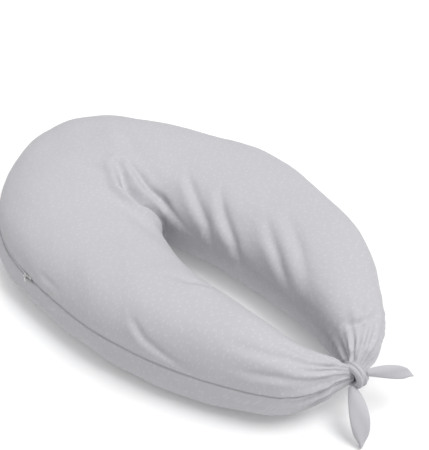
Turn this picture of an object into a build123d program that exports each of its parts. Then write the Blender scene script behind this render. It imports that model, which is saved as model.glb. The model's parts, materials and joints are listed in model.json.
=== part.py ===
from build123d import *
import os
from math import cos, hypot, pi, radians, sin

# Crescent nursing pillow with its two ends tied together.  Millimetres.
# +Z is up and the floor is z = 0.  +X runs from the bend to the knot, the near arm lies on -Y and
# the far arm on +Y.  The origin is on the floor, under the middle of the whole object's box.

# ------------------------------------------------------------------ driving dimensions
SEAM_HEIGHT = 88.0       # level of the seam that joins the top and bottom panels
TOP_ROUNDNESS = 2.3      # superellipse exponent of a cross-section's upper half
BOTTOM_ROUNDNESS = 2.5   # and of its lower half, before the floor flattens it
SECTION_SIDES = 16       # flats round one cross-section, one of them upright along the seam
PLAN_SHIFT = (-14.3, -8.6)   # carries the plan below to the row's origin

COVER_CLOTH = 1.5        # the cover's cotton with its seam allowances
CASE_ROOM = 2.0          # between the cover and the inner cushion's case
ZIP_ROOM = 8.0           # the same along the outer seam, where the zip lies between them
CASE_CLOTH = 1.0         # the inner case's lining cloth
FILLING_ROOM = 1.0       # between the case and the fibre filling
GATHERED_END = 0.12      # share of the last station gap that is solid gathered cloth at each tip
CUSHION_END = 0.03       # share of a station gap that closes the inner case at each of its ends

ZIP_CENTRE = (-117.0, 100.0)  # the zip follows one arc of the outer seam about this plan point
ZIP_RADIUS = 387.0            # of the cover's outside along that arc
ZIP_START = -88.5             # degrees: the end of the opening beside the resting slider
ZIP_END = -148.5              # degrees: the far end of the opening, round the bend
ZIP_GAP = 5.5                 # half the height of the opening in the cover
TAPE_OVERRUN = 2.0            # degrees that the tapes run on past the opening
TAPE_WIDTH = 12.0
TAPE_THICKNESS = 0.5
TAPE_DEPTH = 3.1              # from the cover's outside to the tape's outer face
COIL_GAP = 0.6                # half the slit between the two coils
COIL_WIDTH = 1.8
COIL_HEIGHT = 2.0
STOP_LENGTH = 1.6             # degrees of arc of an end stop

SLIDER_REST = -92.0           # degrees: where the closed zip's slider stands
SLIDER_LENGTH = 10.0
SLIDER_WIDTH = 7.4
SLIDER_TAIL_WIDTH = 5.8       # its narrow end
PLATE = 1.2                   # thickness of the slider's two plates
OUTER_PLATE_BOTTOM = -0.8     # from the cover's outside, as are the next two
INNER_PLATE_BOTTOM = -5.6
BRIDGE_MIDDLE = 2.9
BRIDGE_SPAN = 8.4
BRIDGE_BAR = 1.0              # height of the bar that the pull hangs on
BRIDGE_WIDTH = 1.2
EYE_INNER = 1.05              # radius of the pull's eye, which runs on the bar
EYE_OUTER = 2.2
EYE_THICKNESS = 1.0
PULL_LENGTH = 26.0
PULL_WIDTH = 3.6
PULL_THICKNESS = 1.2

KNOT = (444.0, 0.0)           # the knot's middle in plan, at the seam's level
KNOT_RADIUS = 25.0
KNOT_BAND = 18.0              # width of the wrapped band, along Y
CORE_RADIUS = 13.5            # the near tie's cord of cloth that the band goes round
CORE_END = 11.0               # how far past the knot's middle it reaches
CORE_ROOM = 0.4               # between the band and the core
NECK_RADIUS = 17.0            # the far tie's neck, behind the band
TIP_NECK = (17.0, 26.0)       # half width and half height of a tie where it is sewn to a tip

TAIL_THICKNESS = 2.4          # two layers of cotton, turned and pressed
NEAR_TAIL_ROOT = (458.0, -14.0, 61.0)    # plan x and y, and height above the floor
NEAR_TAIL_TIP = (517.0, -48.0, 3.5)
NEAR_TAIL_WIDTH = 33.0
FAR_TAIL_ROOT = (472.0, 18.0, 96.0)
FAR_TAIL_TIP = (492.0, 93.0, 66.0)
FAR_TAIL_WIDTH = 24.0
TAIL_ROOT_WIDTH = 9.0         # a tail is bunched where it leaves the knot

# Cross-sections from the near tip round the bend to the far tip, in plan:
# outer x, outer y, inner x, inner y, height above the seam, depth below it.
NEAR_ARM = [
    (438, -44, 418, -10, 30, 30),
    (414, -127, 375, -42, 60, 62),
    (301, -203, 276, -59, 84, 92),
    (184, -252, 166, -61, 89, 105),
    (70, -280, 62, -58, 87, 107),
    (-15, -286, -27, -36, 84, 107),
]
# Inner x, inner y, height and depth of the stations whose outer points lie on the zip's arc.
ZIP_STRETCH = [
    (-76, -14, 82, 106),
    (-80, -11, 82, 106),
    (-84, -7, 85, 106),
    (-86, -2, 89, 106),
    (-86, 3, 93, 106),
]
FAR_ARM = [
    (-490, -2, -84, 8, 97, 106),
    (-440, 116, -80, 12, 99, 104),
    (-348, 186, -75, 14, 99, 102),
    (-218, 260, -32, 21, 95, 100),
    (-89, 309, 57, 38, 90, 98),
    (64, 303, 166, 50, 84, 97),
    (234, 251, 286, 44, 74, 90),
    (397, 130, 381, 22, 50, 60),
    (438, 44, 418, 10, 30, 30),
]

os.makedirs("parts", exist_ok=True)


# ------------------------------------------------------------------ places
def in_row(x, y, z=SEAM_HEIGHT):
    """A plan point, carried to the row's frame at a height."""
    return Vector(x + PLAN_SHIFT[0], y + PLAN_SHIFT[1], z)


def on_zip(radius, angle):
    """Plan point at a radius from the zip's centre, at an angle in degrees."""
    turn = radians(angle)
    return (ZIP_CENTRE[0] + radius * cos(turn), ZIP_CENTRE[1] + radius * sin(turn))


def zip_outer(number):
    """Outer point of the zip stretch, a number of stations, whole or not, past its start."""
    share = number / (len(ZIP_STRETCH) - 1)
    return on_zip(ZIP_RADIUS, ZIP_START + share * (ZIP_END - ZIP_START))


def through(before, first, second, after, share):
    """A smooth curve through four values, read a share of the way from first to second."""
    slope = second - before
    bend = 2 * before - 5 * first + 4 * second - after
    twist = 3 * (first - second) + after - before
    return first + (slope * share + bend * share**2 + twist * share**3) / 2


MAIN_STATIONS = NEAR_ARM + [zip_outer(n) + row for n, row in enumerate(ZIP_STRETCH)] + FAR_ARM


def station(place):
    """The station at a place along MAIN_STATIONS, whole or between two of them."""
    last = len(MAIN_STATIONS) - 1
    start = min(int(place), last - 1)
    rows = [MAIN_STATIONS[min(max(n, 0), last)] for n in range(start - 1, start + 3)]
    smooth = tuple(through(*values, place - start) for values in zip(*rows))
    zip_place = place - len(NEAR_ARM)
    if 0 <= zip_place <= len(ZIP_STRETCH) - 1:
        smooth = zip_outer(zip_place) + smooth[2:]
    return smooth


def on_chord(place):
    """The station at a place on the straight line between the two main ones beside it."""
    start = min(int(place), len(MAIN_STATIONS) - 2)
    ends = zip(MAIN_STATIONS[start], MAIN_STATIONS[start + 1])
    return tuple(first + (place - start) * (second - first) for first, second in ends)


def stations(start, end):
    """Stations from one place to another: the ends, the main ones and two more in each gap of the zip."""
    first_zip = len(NEAR_ARM)
    last_zip = first_zip + len(ZIP_STRETCH) - 1
    places = [n for n in range(len(MAIN_STATIONS)) if start < n < end]
    places += [n / 3 for n in range(3 * first_zip, 3 * last_zip) if n % 3]
    return [on_chord(start)] + [station(place) for place in sorted(places)] + [on_chord(end)]


LAST = len(MAIN_STATIONS) - 1


# ------------------------------------------------------------------ cross-sections
def signed_power(value, power):
    return (1 if value >= 0 else -1) * abs(value) ** power


def cross_section(sizes, inset, outer_inset):
    """One upright cross-section, shrunk by inset, and by outer_inset on the outer seam's side."""
    outer_x, outer_y, inner_x, inner_y, height, depth = sizes
    across = in_row(outer_x, outer_y) - in_row(inner_x, inner_y)
    width = across.length
    across = across.normalized()
    half_width = (width - inset - outer_inset) / 2
    middle = in_row(inner_x, inner_y) + across * (inset + half_width)
    half_step = pi / SECTION_SIDES
    points = []
    for number in range(SECTION_SIDES):
        turn = (2 * number + 1) * half_step
        upper = sin(turn) >= 0
        power = 2 / (TOP_ROUNDNESS if upper else BOTTOM_ROUNDNESS)
        rise = (height if upper else depth) - inset
        reach = half_width / cos(half_step) ** power
        points.append((reach * signed_power(cos(turn), power), rise * signed_power(sin(turn), power)))
    with BuildSketch(Plane(origin=middle, x_dir=across, z_dir=across.cross(Vector(0, 0, 1)))) as outline:
        with BuildLine():
            Polyline(*points, close=True)
        make_face()
    return outline.sketch


def crescent(start, end, inset, outer_inset, floor):
    """The solid through the stations of a stretch, shrunk by the insets and cut flat at the floor."""
    sections = [cross_section(sizes, inset, outer_inset) for sizes in stations(start, end)]
    with BuildPart() as body:
        loft(sections, ruled=True)
        split(bisect_by=Plane.XY.offset(floor), keep=Keep.TOP)
    return body.part


# ------------------------------------------------------------------ nested crescent solids
CASE_INSET = COVER_CLOTH + CASE_ROOM
CASE_INSIDE = CASE_INSET + CASE_CLOTH
FILLING_INSET = CASE_INSIDE + FILLING_ROOM
CASE_FLOOR = COVER_CLOTH
FILLING_FLOOR = CASE_FLOOR + CASE_CLOTH

cover_outside = crescent(0, LAST, 0, 0, 0)
cover_inside = crescent(GATHERED_END, LAST - GATHERED_END, COVER_CLOTH, COVER_CLOTH, COVER_CLOTH)
case_outside = crescent(1, LAST - 1, CASE_INSET, CASE_INSET + ZIP_ROOM, CASE_FLOOR)
case_inside = crescent(
    1 + CUSHION_END, LAST - 1 - CUSHION_END, CASE_INSIDE, CASE_INSIDE + ZIP_ROOM, FILLING_FLOOR
)
filling_body = crescent(
    1 + CUSHION_END, LAST - 1 - CUSHION_END, FILLING_INSET, FILLING_INSET + ZIP_ROOM, FILLING_FLOOR
)

SEAM_PLANE = Plane.XY.offset(SEAM_HEIGHT)
ZIP_AXIS = Axis(in_row(*ZIP_CENTRE), (0, 0, 1))


def outward(angle):
    """Unit vector from the zip's centre, at an angle in degrees."""
    return Vector(cos(radians(angle)), sin(radians(angle)), 0)


def along(angle):
    """Unit vector along the zip, towards its closed end."""
    return Vector(-sin(radians(angle)), cos(radians(angle)), 0)


def zip_profile(inner, outer, low, high, angle):
    """Upright rectangle on the zip's arc: depths from the cover's outside, heights from the seam."""
    plane = Plane(origin=in_row(*on_zip(ZIP_RADIUS, angle)), x_dir=outward(angle), z_dir=-along(angle))
    with BuildSketch(plane) as profile:
        with Locations(((inner + outer) / 2, (low + high) / 2)):
            Rectangle(outer - inner, high - low)
    return profile.sketch


def save(builder, name):
    builder.part.label = name
    export_step(builder.part, f"parts/{name}.step")


# ------------------------------------------------------------------ cover
with BuildPart() as zip_opening:
    opening_profile = zip_profile(-10, 10, -ZIP_GAP, ZIP_GAP, ZIP_END)
    revolve(opening_profile, axis=ZIP_AXIS, revolution_arc=ZIP_START - ZIP_END)

with BuildPart() as cover_shell:
    add(cover_outside)
    add(cover_inside, mode=Mode.SUBTRACT)
    add(zip_opening.part, mode=Mode.SUBTRACT)

with BuildPart() as cover_top_panel:
    add(cover_shell.part)
    split(bisect_by=SEAM_PLANE, keep=Keep.TOP)
save(cover_top_panel, "cover_top_panel")

with BuildPart() as cover_bottom_panel:
    add(cover_shell.part)
    split(bisect_by=SEAM_PLANE, keep=Keep.BOTTOM)
save(cover_bottom_panel, "cover_bottom_panel")


# ------------------------------------------------------------------ inner cushion
with BuildPart() as case_shell:
    add(case_outside)
    add(case_inside, mode=Mode.SUBTRACT)

with BuildPart() as inner_case_top:
    add(case_shell.part)
    split(bisect_by=SEAM_PLANE, keep=Keep.TOP)
save(inner_case_top, "inner_case_top")

with BuildPart() as inner_case_bottom:
    add(case_shell.part)
    split(bisect_by=SEAM_PLANE, keep=Keep.BOTTOM)
save(inner_case_bottom, "inner_case_bottom")

with BuildPart() as fibre_filling:
    add(filling_body)
save(fibre_filling, "fibre_filling")


# ------------------------------------------------------------------ zip tapes, coils and stops
TAPE_START = ZIP_START + TAPE_OVERRUN
TAPE_END = ZIP_END - TAPE_OVERRUN
TAPE_INNER = -TAPE_DEPTH - TAPE_THICKNESS
COIL_OUTER = -TAPE_DEPTH + COIL_HEIGHT
SLIDER_HALF_ARC = SLIDER_LENGTH / 2 / ZIP_RADIUS * 180 / pi
STOP_ROOM = 0.1          # degrees between a stop and the slider that meets it
COIL_START = SLIDER_REST + SLIDER_HALF_ARC + STOP_ROOM
COIL_END = ZIP_END + 2.5
ZIP_SIDES = {"upper": 1, "lower": -1}

for side, up in ZIP_SIDES.items():
    low, high = sorted((up * COIL_GAP, up * (COIL_GAP + TAPE_WIDTH)))
    with BuildPart() as zip_tape:
        tape_profile = zip_profile(TAPE_INNER, -TAPE_DEPTH, low, high, TAPE_END)
        revolve(tape_profile, axis=ZIP_AXIS, revolution_arc=TAPE_START - TAPE_END)
    save(zip_tape, f"zip_{side}_tape")

    low, high = sorted((up * COIL_GAP, up * (COIL_GAP + COIL_WIDTH)))
    with BuildPart() as zip_coil:
        coil_profile = zip_profile(-TAPE_DEPTH, COIL_OUTER, low, high, COIL_END)
        revolve(coil_profile, axis=ZIP_AXIS, revolution_arc=COIL_START - COIL_END)
    save(zip_coil, f"zip_{side}_coil")

with BuildPart() as zip_closed_stops:
    for up in ZIP_SIDES.values():
        low, high = sorted((up * COIL_GAP, up * (COIL_GAP + COIL_WIDTH + 0.3)))
        stop_profile = zip_profile(-TAPE_DEPTH, COIL_OUTER + 0.3, low, high, COIL_START)
        revolve(stop_profile, axis=ZIP_AXIS, revolution_arc=STOP_LENGTH)
save(zip_closed_stops, "zip_closed_stops")

with BuildPart() as zip_open_stop:
    stop_height = COIL_GAP + COIL_WIDTH + 0.3
    stop_profile = zip_profile(-TAPE_DEPTH, COIL_OUTER + 0.3, -stop_height, stop_height, COIL_END - STOP_LENGTH)
    revolve(stop_profile, axis=ZIP_AXIS, revolution_arc=STOP_LENGTH)
save(zip_open_stop, "zip_open_stop")


# ------------------------------------------------------------------ slider
# Its own plane: x runs towards the closed end, y is up and z points out of the cover.
SLIDER_PLANE = Plane(
    origin=in_row(*on_zip(ZIP_RADIUS, SLIDER_REST)), x_dir=along(SLIDER_REST), z_dir=outward(SLIDER_REST)
)
OUTER_PLATE_TOP = OUTER_PLATE_BOTTOM + PLATE
INNER_PLATE_TOP = INNER_PLATE_BOTTOM + PLATE
FLANGE = 0.8


def slider_outline(height, shrink=0.0):
    """The slider's shield shape, wide at the end that leads towards the closed stops."""
    half_length = SLIDER_LENGTH / 2 - shrink
    half_width = SLIDER_WIDTH / 2 - shrink
    half_tail = SLIDER_TAIL_WIDTH / 2 - shrink
    with BuildSketch(SLIDER_PLANE.offset(height)) as outline:
        with BuildLine():
            Polyline(
                (-half_length, -half_tail),
                (0, -half_width),
                (half_length, -half_width),
                (half_length, half_width),
                (0, half_width),
                (-half_length, half_tail),
                close=True,
            )
        make_face()
        fillet(outline.vertices(), 0.5)
    return outline.sketch


with BuildPart() as zip_slider:
    extrude(slider_outline(OUTER_PLATE_BOTTOM), amount=PLATE)
    extrude(slider_outline(INNER_PLATE_BOTTOM), amount=PLATE)
    for side in (-1, 1):
        flange_middle = side * (SLIDER_WIDTH - FLANGE) / 2
        with BuildSketch(SLIDER_PLANE.offset(OUTER_PLATE_BOTTOM)):
            with Locations((SLIDER_LENGTH / 4, flange_middle)):
                Rectangle(SLIDER_LENGTH / 2 - 1, FLANGE)
        extrude(amount=OUTER_PLATE_BOTTOM + TAPE_DEPTH - 0.4, dir=-outward(SLIDER_REST))
    with BuildSketch(SLIDER_PLANE.offset(INNER_PLATE_TOP - 0.1)):
        with Locations((SLIDER_LENGTH / 2 - 2, 0)):
            Rectangle(2, 2 * COIL_GAP - 0.6)
    extrude(amount=OUTER_PLATE_BOTTOM - INNER_PLATE_TOP + 0.2)
    bridge_height = BRIDGE_MIDDLE + BRIDGE_BAR / 2 - OUTER_PLATE_TOP
    with BuildSketch(Plane(origin=SLIDER_PLANE.origin, x_dir=SLIDER_PLANE.x_dir, z_dir=(0, 0, -1))):
        with Locations((0, OUTER_PLATE_TOP + bridge_height / 2)):
            Rectangle(BRIDGE_SPAN, bridge_height)
        with Locations((0, OUTER_PLATE_TOP + (bridge_height - BRIDGE_BAR) / 2)):
            Rectangle(BRIDGE_SPAN - 2 * BRIDGE_BAR, bridge_height - BRIDGE_BAR, mode=Mode.SUBTRACT)
    extrude(amount=BRIDGE_WIDTH / 2, both=True)
save(zip_slider, "zip_slider")

with BuildPart() as zip_pull:
    with BuildSketch(Plane(origin=SLIDER_PLANE.origin, x_dir=(0, 0, 1), z_dir=SLIDER_PLANE.x_dir)):
        with Locations((0, BRIDGE_MIDDLE)):
            Circle(EYE_OUTER)
            Circle(EYE_INNER, mode=Mode.SUBTRACT)
    extrude(amount=EYE_THICKNESS / 2, both=True)
    with BuildSketch(SLIDER_PLANE.offset(BRIDGE_MIDDLE - PULL_THICKNESS / 2)):
        with BuildLine():
            Polyline(
                (-EYE_THICKNESS / 2, -1.6),
                (-PULL_WIDTH / 2, -5),
                (-PULL_WIDTH / 2, -PULL_LENGTH),
                (PULL_WIDTH / 2, -PULL_LENGTH),
                (PULL_WIDTH / 2, -5),
                (EYE_THICKNESS / 2, -1.6),
                close=True,
            )
        make_face()
        with Locations((0, -PULL_LENGTH + 2)):
            Circle(0.8, mode=Mode.SUBTRACT)
    extrude(amount=PULL_THICKNESS)
    fillet(zip_pull.edges().filter_by(Axis(in_row(0, 0), outward(SLIDER_REST))).group_by(Axis.Z)[0], 1.2)
save(zip_pull, "zip_pull")


# ------------------------------------------------------------------ knot
# The near tie's cloth runs through the far tie's band, along Y.
KNOT_MIDDLE = in_row(*KNOT)


def tip_neck(tip, side):
    """Where a tie is sewn to an arm's tip: an oval on the tip's end face."""
    outer_x, outer_y, inner_x, inner_y = tip[:4]
    across = (in_row(outer_x, outer_y) - in_row(inner_x, inner_y)).normalized()
    middle = in_row((outer_x + inner_x) / 2, (outer_y + inner_y) / 2)
    with BuildSketch(Plane(origin=middle, x_dir=across, z_dir=across.cross(Vector(0, 0, side)))) as oval:
        Ellipse(*TIP_NECK)
    return oval.sketch


def knot_disc(radius, y, side):
    """A disc across the knot's Y axis."""
    with BuildSketch(Plane(origin=KNOT_MIDDLE + Vector(0, y, 0), x_dir=(1, 0, 0), z_dir=(0, side, 0))) as disc:
        Circle(radius)
    return disc.sketch


band_edge = KNOT_BAND / 2

with BuildPart() as near_tie:
    loft([tip_neck(NEAR_ARM[0], -1), knot_disc(CORE_RADIUS, -band_edge - 0.5, 1)], ruled=True)
    extrude(knot_disc(CORE_RADIUS, -band_edge - 0.5, 1), amount=band_edge + 0.5 + CORE_END)
    fillet(near_tie.edges().group_by(Axis.Y)[-1], 5)
    add(cover_outside, mode=Mode.SUBTRACT)
save(near_tie, "near_tie")

with BuildPart() as far_tie:
    extrude(knot_disc(KNOT_RADIUS, -band_edge, 1), amount=KNOT_BAND)
    fillet(far_tie.edges(), 8)
    loft([knot_disc(NECK_RADIUS, band_edge - 2, 1), tip_neck(FAR_ARM[-1], -1)], ruled=True)
    extrude(
        knot_disc(CORE_RADIUS + CORE_ROOM, -band_edge - 5, 1),
        amount=band_edge + 5 + CORE_END + CORE_ROOM,
        mode=Mode.SUBTRACT,
    )
    add(cover_outside, mode=Mode.SUBTRACT)
save(far_tie, "far_tie")


# ------------------------------------------------------------------ tails
def tail_sketch(root, tip, full_width, across):
    """A tail's flat outline on its own middle plane: bunched root, widest past the middle, pointed tip."""
    start = in_row(*root)
    length = (in_row(*tip) - start).length
    direction = (in_row(*tip) - start).normalized()
    plane = Plane(origin=start, x_dir=direction, z_dir=direction.cross(across))
    half_root = TAIL_ROOT_WIDTH / 2
    with BuildSketch(plane) as outline:
        with BuildLine():
            Polyline((0, half_root), (0.55 * length, full_width / 2), (length, 2))
            Polyline((length, 2), (length, -2), (0.55 * length, -full_width / 2), (0, -half_root), (0, half_root))
        make_face()
    return outline.sketch


near_across = Vector(NEAR_TAIL_TIP[1] - NEAR_TAIL_ROOT[1], NEAR_TAIL_ROOT[0] - NEAR_TAIL_TIP[0], 0).normalized()
with BuildPart() as near_tie_tail:
    extrude(tail_sketch(NEAR_TAIL_ROOT, NEAR_TAIL_TIP, NEAR_TAIL_WIDTH, near_across), amount=TAIL_THICKNESS / 2, both=True)
save(near_tie_tail, "near_tie_tail")

# The far tail hangs on its edge, its width leaning over towards the near arm.
far_run = in_row(*FAR_TAIL_TIP) - in_row(*FAR_TAIL_ROOT)
far_across = far_run.cross(Vector(0.6, -0.5, 0.62).cross(far_run)).normalized()
with BuildPart() as far_tie_tail:
    extrude(tail_sketch(FAR_TAIL_ROOT, FAR_TAIL_TIP, FAR_TAIL_WIDTH, far_across), amount=TAIL_THICKNESS / 2, both=True)
save(far_tie_tail, "far_tie_tail")
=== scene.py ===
import json
import math

import bpy
import numpy as np
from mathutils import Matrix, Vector


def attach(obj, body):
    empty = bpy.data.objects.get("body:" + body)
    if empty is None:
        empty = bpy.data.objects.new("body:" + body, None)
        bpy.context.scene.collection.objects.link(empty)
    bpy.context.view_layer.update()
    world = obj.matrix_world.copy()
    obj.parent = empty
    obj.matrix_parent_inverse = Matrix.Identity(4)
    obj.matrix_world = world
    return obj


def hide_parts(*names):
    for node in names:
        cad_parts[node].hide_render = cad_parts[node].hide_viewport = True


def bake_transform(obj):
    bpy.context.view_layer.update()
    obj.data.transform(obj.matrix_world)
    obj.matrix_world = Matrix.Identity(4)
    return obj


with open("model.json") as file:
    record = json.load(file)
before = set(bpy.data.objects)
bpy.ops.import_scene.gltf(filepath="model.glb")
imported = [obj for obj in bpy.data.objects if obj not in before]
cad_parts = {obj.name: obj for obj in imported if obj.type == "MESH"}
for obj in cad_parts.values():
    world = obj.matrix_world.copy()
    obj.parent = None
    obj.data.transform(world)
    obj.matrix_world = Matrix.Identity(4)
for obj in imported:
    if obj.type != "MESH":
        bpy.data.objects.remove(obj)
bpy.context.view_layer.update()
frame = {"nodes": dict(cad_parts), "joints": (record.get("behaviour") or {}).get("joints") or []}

MM = 0.001
joints = {joint["name"]: joint for joint in frame["joints"]}

# ------------------------------------------------------------------ plan of the cover
# Lengths are in millimetres and angles in degrees until a mesh is made.
ZIP_CENTRE = np.array([-117.0, 100.0])
ZIP_RADIUS = 387.0
ZIP_START, ZIP_END = -88.5, -148.5
SLIDER_REST = -92.0
TOP_ROUNDNESS, BOTTOM_ROUNDNESS = 2.3, 2.5
zip_axis = np.array(joints["slider_travel"]["pos_m"]) / MM
SHIFT = zip_axis[:2] - ZIP_CENTRE        # from the plan below to the row's frame
SEAM = zip_axis[2]                       # height of the seam over the floor
SLIDER_END = SLIDER_REST - joints["slider_travel"]["range_deg"][1]

# outer x, outer y, inner x, inner y, height above the seam, depth below it
NEAR_ARM = [
    (438, -44, 418, -10, 30, 30),
    (414, -127, 375, -42, 60, 62),
    (301, -203, 276, -59, 84, 92),
    (184, -252, 166, -61, 89, 105),
    (70, -280, 62, -58, 87, 107),
    (-15, -286, -27, -36, 84, 107),
]
ZIP_STRETCH = [
    (-76, -14, 82, 106),
    (-80, -11, 82, 106),
    (-84, -7, 85, 106),
    (-86, -2, 89, 106),
    (-86, 3, 93, 106),
]
FAR_ARM = [
    (-490, -2, -84, 8, 97, 106),
    (-440, 116, -80, 12, 99, 104),
    (-348, 186, -75, 14, 99, 102),
    (-218, 260, -32, 21, 95, 100),
    (-89, 309, 57, 38, 90, 98),
    (64, 303, 166, 50, 84, 97),
    (234, 251, 286, 44, 74, 90),
    (397, 130, 381, 22, 50, 60),
    (438, 44, 418, 10, 30, 30),
]


def main_stations():
    """All stations in one table. The zip stretch runs along the zip's arc."""
    turns = np.radians(np.linspace(ZIP_START, ZIP_END, len(ZIP_STRETCH)))
    arc = [ZIP_CENTRE + ZIP_RADIUS * np.array([np.cos(turn), np.sin(turn)]) for turn in turns]
    zip_rows = [(*place, *row) for place, row in zip(arc, ZIP_STRETCH)]
    return np.array(NEAR_ARM + zip_rows + FAR_ARM, float)


def catmull(table, places):
    """Rows of a table at places along it, on a smooth curve through the rows."""
    last = len(table) - 1
    start = np.clip(places.astype(int), 0, last - 1)
    share = (places - start)[:, None]
    before, first, second, after = (table[np.clip(start + n, 0, last)] for n in (-1, 0, 1, 2))
    slope = second - before
    bend = 2 * before - 5 * first + 4 * second - after
    twist = 3 * (first - second) + after - before
    return first + (slope * share + bend * share**2 + twist * share**3) / 2


def smoothed(rows, passes):
    """Rows evened out along their length, with both ends kept."""
    for _ in range(passes):
        rows[1:-1] = (rows[:-2] + 2 * rows[1:-1] + rows[2:]) / 4
    return rows


def signed_power(value, power):
    """A power that keeps the sign of its value, for superellipse sections."""
    return np.sign(value) * np.abs(value) ** power


# ------------------------------------------------------------------ the cover as a grid
ALONG = 460            # sections from tip to tip
FINE = 4000            # places along the curve through the stations
FAIRING = 60           # passes that even out that curve
OUTER_SHARE = 0.6      # the sections are evenly spaced along a line this far towards the outer edge
NEAR_SEAM = [0.006, 0.013, 0.022, 0.028, 0.034, 0.044, 0.058, 0.076, 0.098, 0.125, 0.157, 0.195]
PAST_SEAM = 0.24       # angle where the even rows begin
ROUND = 66             # even rows round each half section
FLOOR_SOFTNESS = 5.0   # how gently a section turns on to the floor
BELLY = 2.0            # how far the lower half swells past the seam on the outer side
NEAR_BEND_BELLY = 15.0 # how much further it swells at the near bend
NEAR_BEND, NEAR_BEND_SPREAD = 0.38, 0.13     # shares of the way from tip to tip


def section_turns():
    """Angles round a section: fine rows on both sides of the outer seam, even rows elsewhere."""
    half = np.concatenate([NEAR_SEAM, np.linspace(PAST_SEAM, math.pi, ROUND)])
    return np.concatenate([[0.0], half, -half[-2::-1]])


TURNS = section_turns()
OUTER_SIDE = (np.cos(TURNS) > 0)[None, :]
CROWN = np.argmin(np.abs(TURNS - math.pi / 2))
INNER_SEAM = len(NEAR_SEAM) + ROUND


def lengths_along(points):
    """Distance of each point from the first, along the line through them."""
    return np.r_[0, np.cumsum(np.linalg.norm(np.diff(points, axis=0), axis=1))]


def unit(vectors):
    return vectors / np.linalg.norm(vectors, axis=-1, keepdims=True)


def cover_grid():
    """Points (along, round, 3) of the plump cover in the row's frame."""
    table = main_stations()
    fine = catmull(table, np.linspace(0, len(table) - 1, FINE))
    length = lengths_along(fine[:, :2] * OUTER_SHARE + fine[:, 2:4] * (1 - OUTER_SHARE))
    places = np.linspace(0, length[-1], ALONG)
    rows = smoothed(np.stack([np.interp(places, length, column) for column in fine.T], 1), FAIRING)
    outer, inner = rows[:, None, :2] + SHIFT, rows[:, None, 2:4] + SHIFT
    cosine, sine = np.cos(TURNS), np.sin(TURNS)
    upper = sine >= 0
    power = 2 / np.where(upper, TOP_ROUNDNESS, BOTTOM_ROUNDNESS)
    sideways = signed_power(cosine, power)[None, :, None]
    rise = np.where(upper, rows[:, 4:5], rows[:, 5:6]) * signed_power(sine, power)
    grid = np.zeros((ALONG, len(TURNS), 3))
    grid[..., :2] = (outer + inner) / 2 + (outer - inner) / 2 * sideways
    belly = np.clip(sideways[..., 0], 0, 1) ** 2 * np.sin(np.pi * np.clip(-rise / SEAM, 0, 1)) ** 1.2
    near_bend = np.exp(-(((np.arange(ALONG) / ALONG - NEAR_BEND) / NEAR_BEND_SPREAD) ** 2))[:, None]
    swelling = belly * (BELLY + NEAR_BEND_BELLY * near_bend)
    grid[..., :2] += unit(outer - inner) * swelling[..., None]
    grid[..., 2] = on_floor(SEAM + rise)
    return grid


def on_floor(height):
    """Heights pressed flat on the floor, with a soft edge."""
    return FLOOR_SOFTNESS * np.logaddexp(0, height / FLOOR_SOFTNESS)


def grid_normals(grid):
    """Unit normals of a grid that is closed round each section, pointing outwards."""
    along = np.gradient(grid, axis=0)
    ring = np.concatenate([grid[:, -1:], grid, grid[:, :1]], axis=1)
    around = (ring[:, 2:] - ring[:, :-2]) / 2
    normal = np.cross(around, along)
    return normal / np.maximum(np.linalg.norm(normal, axis=2, keepdims=True), 1e-9)


# ------------------------------------------------------------------ folds and creases
# Points in the row's frame, width, depth, ridge and side. A crease sinks by its depth over about its width,
# and a soft ridge of a share of that depth stands beside it, on the side that the sign gives.
CREASES = [
    ([(-150, -70, 168), (-70, -72, 152), (0, -74, 140)], 30, 7, 0.0, 1),
    ([(-222, -16, 178), (-165, -42, 167), (-118, -38, 145), (-84, -2, 92)], 12, 16, 0.7, 1),
    ([(-205, 2, 178), (-140, -4, 160), (-95, 16, 125), (-40, 24, 100)], 10, 9, 0.6, 1),
    ([(-110, 70, 178), (-75, 55, 163), (-7, 35, 132), (29, 28, 85)], 12, 5.5, 0.5, 1),
    ([(-30, 88, 170), (10, 60, 155), (65, 40, 125), (95, 36, 85)], 12, 6, 0.5, 1),
    ([(90, 98, 165), (166, 59, 141), (215, 44, 110)], 13, 4.5, 0.5, 1),
    ([(107, 136, 167), (186, 95, 154), (250, 56, 132)], 15, 4.5, 0.5, 1),
    ([(366, 30, 132), (379, 55, 134), (380, 94, 130)], 9, 6, 0.6, -1),
    ([(-110, -296, 120), (-73, -290, 116), (-30, -286, 112)], 8, 3, 0.6, 1),
    ([(130, -250, 146), (167, -256, 128), (214, -243, 113), (255, -228, 96)], 9, 5, 0.6, 1),
    ([(100, -150, 174), (142, -132, 171), (169, -97, 156)], 12, 3.5, 0.5, 1),
    ([(300, -168, 158), (348, -141, 156), (377, -113, 150), (404, -85, 136)], 11, 4, 0.5, 1),
    ([(330, -190, 130), (380, -140, 128), (410, -95, 112)], 9, 4, 0.5, 1),
    ([(345, -100, 160), (385, -80, 145), (410, -50, 118)], 9, 4, 0.5, -1),
    ([(330, 100, 150), (370, 70, 140), (402, 30, 115)], 9, 4, 0.5, 1),
    ([(350, 150, 118), (390, 105, 112), (412, 45, 100)], 9, 4, 0.5, 1),
    ([(-330, 70, 186), (-260, 40, 186), (-190, 22, 180)], 20, 3, 0.4, 1),
    ([(-300, -90, 178), (-240, -60, 176), (-180, -40, 172)], 20, 3, 0.4, -1),
]


CREASE_SHARPNESS = 1.6
RIDGE_PLACE = 1.5      # how many widths beside the crease its ridge stands


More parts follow.
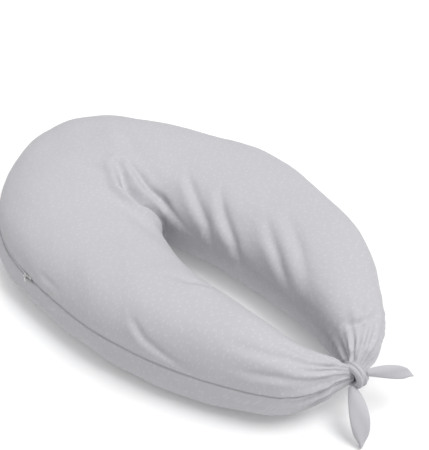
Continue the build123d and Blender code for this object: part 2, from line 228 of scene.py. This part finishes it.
def crease(points, normals, route, width, depth, ridge, side):
    """How far each point sinks or rises for one crease, which fades towards both its ends."""
    route = np.array(route, float)
    best = np.full(points.shape[:-1], 1e9)
    signed = np.zeros(points.shape[:-1])
    share = np.zeros(points.shape[:-1])
    for number in range(len(route) - 1):
        first, second = route[number], route[number + 1]
        run = second - first
        place = np.clip(((points - first) @ run) / (run @ run), 0, 1)
        away = points - (first + place[..., None] * run)
        distance = np.linalg.norm(away, axis=-1)
        closer = distance < best
        best = np.where(closer, distance, best)
        lean = np.einsum("...i,...i", np.cross(unit(run), normals), away)
        signed = np.where(closer, np.sign(lean) * distance, signed)
        share = np.where(closer, (number + place) / (len(route) - 1), share)
    taper = np.sin(np.pi * np.clip(0.06 + 0.9 * share, 0, 1)) ** 0.7
    sink = np.exp(-((signed / width) ** 2) * CREASE_SHARPNESS)
    rise = ridge * np.exp(-(((signed - side * RIDGE_PLACE * width) / width) ** 2))
    return depth * taper * (rise - sink)


def waves(seed, points, size, amount):
    """Soft unevenness: a few sine waves of about one size in all directions."""
    draw = np.random.default_rng(seed)
    total = np.zeros(points.shape[:-1])
    for _ in range(9):
        direction = unit(draw.normal(size=3))
        pitch = size * draw.uniform(0.7, 1.6)
        total += np.sin(2 * np.pi * (points @ direction) / pitch + draw.uniform(0, 6.28))
    return amount * total / 3


def seam_puckers(grid):
    """Small gathers that run square off both seams and fade away from them."""
    length = lengths_along(grid[:, 0])
    draw = np.random.default_rng(7)
    wave = np.zeros(ALONG)
    for pitch in (13.0, 19.0, 31.0, 47.0):
        drift = draw.uniform(0, 6.28) + 1.5 * np.sin(length / 60 + pitch)
        wave += np.sin(2 * np.pi * length / pitch + drift)
    strength = 0.35 + 0.65 * (0.5 + 0.5 * np.sin(length / 85 + 1.0)) ** 2
    distance = np.abs(grid[..., 2] - SEAM)
    fade = np.exp(-distance / 16) * np.clip(distance / 2.5, 0, 1)
    return np.where(OUTER_SIDE, 0.45, 0.8) * (wave * strength)[:, None] * fade


GATHER_DEPTH = 3.0
GATHER_REACH = 62.0    # how far from a tip the pleats run


def tip_gathers(grid):
    """Pleats that run into each tied tip."""
    length = lengths_along(grid.mean(axis=1))
    from_tip = np.minimum(length, length[-1] - length)[:, None]
    pleats = np.sin(9 * TURNS + 1.2 * np.sin(2 * TURNS)) + 0.6 * np.sin(17 * TURNS + 0.8)
    fade = np.exp(-((from_tip / GATHER_REACH) ** 2)) * np.clip(from_tip / 12, 0.35, 1)
    return GATHER_DEPTH * pleats * fade


def bump_at(value, place, spread):
    """A smooth bump of height 1 at a place."""
    return np.exp(-(((value - place) / spread) ** 2))


def zip_angles(grid):
    """Where each section's outer edge is on the zip's arc, in degrees."""
    offset = grid[:, 0, :2] - SHIFT - ZIP_CENTRE
    return np.degrees(np.arctan2(offset[:, 1], offset[:, 0]))


SLOT = 4.7             # half height of the zip's slot between the cover's two lips
SLOT_DEPTH = 7.0
SLOT_WALL = 0.9        # how far up and down a wall of the slot takes
LIP = 1.4              # how far the two lips stand out
REST_GAPE, END_GAPE = 1.4, 1.2         # how much wider the slot is at the slider's two ends of travel
GAPE_SPREAD = 2.2
SEAM_PINCH = 2.2
FLANKS = (0.2, 0.75)   # the zip is between these shares of the way from tip to tip


def seam_and_slot(grid):
    """The stitched seam's pinch and, along the zip, the open slot that shows tape, coil and slider."""
    height = grid[..., 2] - SEAM
    off_seam = np.abs(height)
    pinch = 0.5 * bump_at(off_seam, 4, 2) - SEAM_PINCH * bump_at(height, 0, 1.7)
    angle = zip_angles(grid)
    inside = np.clip((ZIP_START - angle) / 0.5, 0, 1) * np.clip((angle - ZIP_END) / 0.5, 0, 1)
    share = np.arange(ALONG) / ALONG
    inside = np.where((share > FLANKS[0]) & (share < FLANKS[1]), inside, 0)[:, None]
    gape = REST_GAPE * bump_at(angle, SLIDER_REST, GAPE_SPREAD)
    gape += END_GAPE * bump_at(angle, SLIDER_END, GAPE_SPREAD)
    edge = SLOT + gape[:, None]
    slot = -SLOT_DEPTH * np.clip((edge - off_seam) / SLOT_WALL, 0, 1)
    lip = LIP * bump_at(off_seam, edge + 2.5, 2.2)
    shaped = inside * (slot + lip) + (1 - inside) * pinch
    return np.where(OUTER_SIDE, shaped, 0.8 * pinch)


def crease_moves(grid, normals, wider, ridges):
    """All creases together, widened for a piece further in, with or without their ridges."""
    return sum(
        crease(grid, normals, route, width * wider, depth, ridge * ridges, side)
        for route, width, depth, ridge, side in CREASES
    )


def fade_to_floor(grid):
    """0 on the floor and 1 well above it, so that the resting face stays flat."""
    return np.clip(grid[..., 2] / 12, 0, 1)


LOWEST = 0.2           # the cover's underside over the floor


def sculpted(grid):
    """The plump cover with its unevenness, creases, puckers and pleats, its seam and the zip's slot."""
    normals = grid_normals(grid)
    move = waves(3, grid, 210, 2.0) + waves(5, grid, 90, 0.8) + waves(11, grid, 38, 0.25)
    move += crease_moves(grid, normals, wider=1, ridges=1)
    move *= 1 - bump_at(grid[..., 2], SEAM, 14) * OUTER_SIDE
    move += seam_puckers(grid) + tip_gathers(grid)
    move *= fade_to_floor(grid)
    result = grid + normals * (move + seam_and_slot(grid))[..., None]
    result[..., 2] = np.maximum(result[..., 2], LOWEST)
    return result


def cloth_coordinates(grid):
    """Flat cloth coordinates in metres: the plan, with the distance from the crown unrolled sideways."""
    step = np.linalg.norm(np.diff(grid, axis=1), axis=2)
    length = np.concatenate([np.zeros((ALONG, 1)), np.cumsum(step, axis=1)], axis=1)
    sideways = length[:, CROWN:CROWN + 1] - length
    across = unit(grid[:, 0, :2] - grid[:, INNER_SEAM, :2])
    return (grid[:, CROWN:CROWN + 1, :2] + across[:, None] * sideways[..., None]) * MM


def grid_mesh(name, grid, uv=None):
    """Closed skin over a grid, capped at both ends."""
    count_along, count_round = grid.shape[:2]
    points = (grid.reshape(-1, 3) * MM).tolist()
    number = np.arange(count_along * count_round).reshape(count_along, count_round)
    ahead = np.roll(number, -1, axis=1)
    quads = np.stack([number[:-1], number[1:], ahead[1:], ahead[:-1]], axis=-1).reshape(-1, 4)
    caps = [number[0].tolist(), number[-1][::-1].tolist()]
    mesh = bpy.data.meshes.new(name)
    mesh.from_pydata(points, [], quads.tolist() + caps)
    if uv is not None:
        layer = mesh.uv_layers.new(name="cloth")
        corners = np.zeros(len(mesh.loops), int)
        mesh.loops.foreach_get("vertex_index", corners)
        layer.data.foreach_set("uv", uv.reshape(-1, 2)[corners].astype(np.float32).ravel())
    mesh.shade_smooth()
    mesh.update()
    piece = bpy.data.objects.new(name, mesh)
    bpy.context.scene.collection.objects.link(piece)
    return piece


# ------------------------------------------------------------------ build the padded pieces
KNOT = np.array([444.0 + SHIFT[0], SHIFT[1], SEAM])
NECK = np.linspace(0, 1.05, 34)[1:, None, None]      # places from a tip into the middle of the knot
NECK_CLOTH = np.array([0.031, 0.0])                  # how much flat cloth goes into a neck, in metres
NECK_NARROWING = 0.6
NECK_PLEAT = 0.12


def neck_rows(ring):
    """Gathered cloth from an arm's tip into the middle of the knot, in tightening pleats."""
    centre = ring.mean(axis=0)
    turns = np.arctan2(ring[:, 2] - centre[2], (ring - centre)[:, 0])[None, :, None]
    narrow = 1 - NECK_NARROWING * np.clip(NECK, 0, 1) ** 0.8
    wave = np.sin(10 * turns + 1.5 * np.sin(3 * turns) + 0.6 * NECK)
    pleat = NECK_PLEAT * np.clip(NECK * 2.5, 0, 1) * wave
    return centre + (KNOT - centre) * NECK + (ring - centre)[None] * narrow * (1 + pleat)


def with_necks(rows, near, far):
    return np.concatenate([near[::-1], rows, far])


def padded_piece(name, points, uv, nodes):
    piece = grid_mesh(name, points, uv)
    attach(piece, "cover")
    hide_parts(*nodes)
    return piece


plump = cover_grid()
shaped = sculpted(plump)
cloth_uv = cloth_coordinates(plump)
cover = padded_piece(
    "cover_cloth",
    with_necks(shaped, neck_rows(shaped[0]), neck_rows(shaped[-1])),
    with_necks(cloth_uv, cloth_uv[0] + NECK_CLOTH * NECK, cloth_uv[-1] + NECK_CLOTH * NECK),
    ["cover_top_panel", "cover_bottom_panel"],
)

CUSHION_ENDS = slice(6, -6)                          # the cushion stops short of the gathered tips


def inset(depth, floor):
    """The plump shape with its big folds, moved inwards and lifted off the floor."""
    normals = grid_normals(plump)
    move = crease_moves(plump, normals, wider=1.3, ridges=0) * fade_to_floor(plump)
    inner = plump + normals * (move - depth)[..., None]
    inner[..., 2] = np.maximum(inner[..., 2], floor)
    return inner[CUSHION_ENDS]


case = padded_piece(
    "inner_case_cloth", inset(10.0, 3.0), cloth_uv[CUSHION_ENDS],
    ["inner_case_top", "inner_case_bottom"],
)
filling = padded_piece(
    "filling_fibre", inset(12.0, 5.0), cloth_uv[CUSHION_ENDS], ["fibre_filling"],
)


# ------------------------------------------------------------------ the tied knot
BAND_RADIUS = 24.0     # of the wrapped band's middle
BAND_EDGE = 15.0       # of its two edges
BAND_INSIDE = 12.0
BAND_HALF = 13.0       # half its width outside
BAND_INSIDE_HALF = 9.0
BAND_SLANT = 2.5


def band_grid():
    """The wrapped tie: a soft ring round the gathers, creased along its length."""
    rows = []
    for turn in np.linspace(0, 2 * math.pi, 97):
        half = BAND_HALF * (1 - 0.22 * math.sin(turn / 2 + 0.4) ** 2)
        profile = []
        for across in np.linspace(-1, 1, 25):
            fold = 1.5 * math.sin(7.5 * across + 1.3 * math.sin(turn) + 0.5)
            fold += 0.8 * math.sin(15 * across - 2 * turn)
            edge = 1 - abs(across) ** 4
            radius = BAND_EDGE + (BAND_RADIUS - BAND_EDGE) * edge ** 0.5 + fold * edge
            profile.append((radius, across * half))
        profile += [(BAND_INSIDE, across * BAND_INSIDE_HALF) for across in np.linspace(1, -1, 9)]
        slant = BAND_SLANT * math.cos(turn + 0.7)
        outward = np.array([math.cos(turn), 0.0, math.sin(turn)])
        rows.append([KNOT + outward * radius + np.array([0.0, y + slant, 0.0]) for radius, y in profile])
    return np.array(rows)


band = padded_piece("knot_band", band_grid(), None, ["near_tie", "far_tie"])


TAIL_THICKNESS = 1.8
TAIL_ROWS, TAIL_COLUMNS = 60, 13


def bezier(points, share):
    first, second, third, fourth = (np.array(point, float) for point in points)
    rest = 1 - share
    return rest**3 * first + 3 * rest**2 * share * second + 3 * rest * share**2 * third + share**3 * fourth


def tail_width(share, widths):
    """Width along a tail, on a smooth curve through even places."""
    column = np.array(widths, float)[:, None]
    return float(catmull(column, np.array([share * (len(widths) - 1)]))[0, 0])


def tail_grid(points, widths, facing, cup):
    """A flat tie end as a thin closed skin along a curve, cupped across and rippled towards its tip."""
    shares = np.linspace(0, 1, TAIL_ROWS)
    middle = np.array([bezier(points, share) for share in shares])
    heading = unit(np.gradient(middle, axis=0))
    flat = unit(np.cross(heading, facing))
    outward = np.cross(flat, heading)
    grid = []
    for n, share in enumerate(shares):
        half = tail_width(share, widths) / 2
        loop = []
        for side in (1, -1):
            for across in np.linspace(-1, 1, TAIL_COLUMNS)[::side]:
                ripple = 1.6 * share * math.sin(3.2 * across + 7 * share) + cup * (1 - across**2)
                edge = max(0.15, 1 - abs(across) ** 6)
                lift = ripple + side * TAIL_THICKNESS / 2 * edge
                loop.append(middle[n] + flat[n] * (across * half) + outward[n] * lift)
        grid.append(loop)
    return np.array(grid)


def tail(name, node_name, points, widths, facing, cup):
    """One loose tie end at the knot."""
    grid = tail_grid(points, widths, np.array(facing, float), cup)
    piece = grid_mesh(name, grid)
    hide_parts(node_name)
    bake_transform(piece)
    return piece


def at(x, y, z):
    """A place in the plan as a point in the row's frame."""
    return (x + SHIFT[0], y + SHIFT[1], z)


near_tail = tail(
    "near_tail_cloth", "near_tie_tail",
    [at(452, -12, 72), at(478, -26, 66), at(505, -40, 52), at(516, -48, 4)],
    [13, 22, 29, 33, 33, 26, 7], (0.55, -0.5, 0.65), cup=4.0,
)
far_tail = tail(
    "far_tail_cloth", "far_tie_tail",
    [at(462, 10, 100), at(482, 32, 106), at(492, 64, 92), at(494, 92, 67)],
    [13, 18, 22, 24, 23, 18, 7], (0.85, -0.2, 0.5), cup=3.0,
)


# ------------------------------------------------------------------ materials
def material(name, colour, roughness, metallic=0.0, sheen=0.0):
    made = bpy.data.materials.new(name)
    made.use_nodes = True
    shader = made.node_tree.nodes["Principled BSDF"]
    set_values(shader, {
        "Base Color": (*colour, 1), "Roughness": roughness, "Metallic": metallic, "Sheen Weight": sheen,
    })
    return made, made.node_tree, shader


def set_values(shader_node, values):
    for socket, value in values.items():
        shader_node.inputs[socket].default_value = value


def node(tree, kind, values=(), **settings):
    """A new shader node with its settings and the values of its sockets."""
    made = tree.nodes.new(kind)
    for key, value in settings.items():
        setattr(made, key, value)
    set_values(made, dict(values))
    return made


def noise_bump(tree, where, scale, detail, strength, distance):
    """A bump node over a noise of about 1 / scale metres."""
    noise = node(tree, "ShaderNodeTexNoise", {"Scale": scale, "Detail": detail})
    bump = node(tree, "ShaderNodeBump", {"Strength": strength, "Distance": distance})
    tree.links.new(where, noise.inputs["Vector"])
    tree.links.new(noise.outputs["Fac"], bump.inputs["Height"])
    return bump


SPRIGS = ((0.6, 96.0), (-0.9, 88.0))      # turn in radians and leaves per metre of each set of printed leaves
SPRIG_LENGTHENING = 0.5
SPRIG_LIGHTER = 1.08


def sprig_mask(tree, where, turn, scale):
    """White where a small printed leaf is: long specks scattered over the flat cloth, all turned one way."""
    turned = node(
        tree, "ShaderNodeMapping", {"Rotation": (0, 0, turn), "Scale": (1, SPRIG_LENGTHENING, 1)},
    )
    leaf = node(
        tree, "ShaderNodeTexVoronoi", {"Scale": scale, "Randomness": 0.7}, voronoi_dimensions="2D",
    )
    edge = node(
        tree, "ShaderNodeMapRange", {"From Min": 0.09, "From Max": 0.16, "To Min": 1.0, "To Max": 0.0},
        interpolation_type="SMOOTHSTEP",
    )
    tree.links.new(where, turned.inputs["Vector"])
    tree.links.new(turned.outputs["Vector"], leaf.inputs["Vector"])
    tree.links.new(leaf.outputs["Distance"], edge.inputs["Value"])
    return edge.outputs["Result"]


def print_sprigs(tree, where, shader, colour):
    """The printed leaves, a little lighter than the cloth."""
    masks = [sprig_mask(tree, where, turn, scale) for turn, scale in SPRIGS]
    either = node(tree, "ShaderNodeMath", operation="MAXIMUM")
    for mask, socket in zip(masks, either.inputs):
        tree.links.new(mask, socket)
    lighter = tuple(min(1.0, part * SPRIG_LIGHTER) for part in colour)
    mix = node(tree, "ShaderNodeMix", data_type="RGBA")
    set_values(mix, {"A": (*colour, 1), "B": (*lighter, 1)})
    tree.links.new(either.outputs["Value"], mix.inputs["Factor"])
    tree.links.new(mix.outputs["Result"], shader.inputs["Base Color"])


def cloth_material(name, colour, weave_scale, mapped=True, printed=False):
    """Matt cloth: a fine weave over broader slubs, with printed leaves if asked for."""
    made, tree, shader = material(name, colour, 0.9, sheen=0.15)
    where = node(tree, "ShaderNodeTexCoord").outputs["UV" if mapped else "Object"]
    weave = noise_bump(tree, where, weave_scale, 2.0, 0.25, 0.0004)
    slubs = noise_bump(tree, where, weave_scale / 14, 3.0, 0.35, 0.0016)
    tree.links.new(slubs.outputs["Normal"], weave.inputs["Normal"])
    tree.links.new(weave.outputs["Normal"], shader.inputs["Normal"])
    if printed:
        print_sprigs(tree, where, shader, colour)
    return made


def grain_material(name, colour, roughness, metallic, scale, distance):
    made, tree, shader = material(name, colour, roughness, metallic)
    where = node(tree, "ShaderNodeTexCoord").outputs["Object"]
    grain = noise_bump(tree, where, scale, 2.0, 0.3, distance)
    tree.links.new(grain.outputs["Normal"], shader.inputs["Normal"])
    return made


COTTON = (0.515, 0.508, 0.533)
cotton = cloth_material("cotton_print", COTTON, 1500, printed=True)
plain_cotton = cloth_material("cotton_plain", COTTON, 1500, mapped=False)
lining = cloth_material("lining", (0.72, 0.72, 0.71), 1400)
fibre = cloth_material("polyester_fibre", (0.86, 0.86, 0.85), 420)
tape = grain_material("zip_tape_weave", (0.60, 0.60, 0.62), 0.85, 0.0, 1800, 0.0003)
coil = grain_material("zip_coil_nylon", (0.66, 0.66, 0.68), 0.45, 0.0, 900, 0.0006)
nickel = grain_material("satin_nickel", (0.78, 0.78, 0.77), 0.28, 1.0, 1500, 0.00006)


def dress(piece, made):
    piece.data.materials.clear()
    piece.data.materials.append(made)


finishes = {
    cotton: [cover],
    plain_cotton: [band, near_tail, far_tail],
    lining: [case],
    fibre: [filling],
    tape: [frame["nodes"][name] for name in ("zip_upper_tape", "zip_lower_tape")],
    coil: [frame["nodes"][name] for name in ("zip_upper_coil", "zip_lower_coil")],
    nickel: [frame["nodes"]["zip_" + name] for name in ("closed_stops", "open_stop", "slider", "pull")],
}
for finish, dressed in finishes.items():
    for piece in dressed:
        dress(piece, finish)


# ------------------------------------------------------------------ floor, light and camera
scene = bpy.context.scene
FLOOR_SIZE, FLOOR_DROP = 120, 0.0006      # metres; the floor is a little under the cover
FLOOR_GLOW = 0.14                         # keeps the soft shadows pale

bpy.ops.mesh.primitive_plane_add(size=FLOOR_SIZE, location=(0, 0, -FLOOR_DROP))
floor = bpy.context.object
floor.name = "floor"
floor_material, _, floor_shader = material("floor_white", (0.84, 0.84, 0.84), 0.9)
set_values(floor_shader, {"Emission Color": (1, 1, 1, 1), "Emission Strength": FLOOR_GLOW})
dress(floor, floor_material)

SKY_TOP, SKY_EDGE = 1.35, 0.02            # the sky is brightest overhead and dark at the horizon

if scene.world is None:
    scene.world = bpy.data.worlds.new("studio")
scene.world.use_nodes = True
sky_tree = scene.world.node_tree
sky = sky_tree.nodes["Background"]
sky.inputs["Color"].default_value = (0.985, 0.99, 1.0, 1)
towards = node(sky_tree, "ShaderNodeTexCoord")
split = node(sky_tree, "ShaderNodeSeparateXYZ")
squared = node(sky_tree, "ShaderNodeMath", operation="MULTIPLY")
dome = node(sky_tree, "ShaderNodeMath", {1: SKY_TOP, 2: SKY_EDGE}, operation="MULTIPLY_ADD")
sky_tree.links.new(towards.outputs["Generated"], split.inputs["Vector"])
for factor in squared.inputs[:2]:
    sky_tree.links.new(split.outputs["Z"], factor)
sky_tree.links.new(squared.outputs["Value"], dome.inputs[0])
sky_tree.links.new(dome.outputs["Value"], sky.inputs["Strength"])

KEY_FROM = Vector((0.42, 0.2, 1.0))
KEY_STRENGTH, KEY_SPREAD = 1.7, math.radians(34)

key_light = bpy.data.lights.new("key", "SUN")
key_light.energy = KEY_STRENGTH
key_light.angle = KEY_SPREAD
key = bpy.data.objects.new("key", key_light)
key.rotation_euler = KEY_FROM.to_track_quat("Z", "Y").to_euler()
scene.collection.objects.link(key)

AZIMUTH, ELEVATION, DISTANCE = math.radians(50.48), math.radians(38.78), 2.066
LENS, SHIFT_RIGHT, SHIFT_UP = 85, 0.0602, 0.0509
LOOK_AT = Vector((*SHIFT, SEAM)) * MM
BACK = Vector((
    math.sin(AZIMUTH) * math.cos(ELEVATION),
    -math.cos(AZIMUTH) * math.cos(ELEVATION),
    math.sin(ELEVATION),
))

lens = bpy.data.cameras.new("camera")
lens.lens = LENS
lens.sensor_width = 36
lens.shift_x = SHIFT_RIGHT
lens.shift_y = SHIFT_UP
camera = bpy.data.objects.new("camera", lens)
camera.location = LOOK_AT + BACK * DISTANCE
camera.rotation_euler = BACK.to_track_quat("Z", "Y").to_euler()
scene.collection.objects.link(camera)
bpy.context.scene.camera = camera
scene.view_settings.view_transform = "Standard"
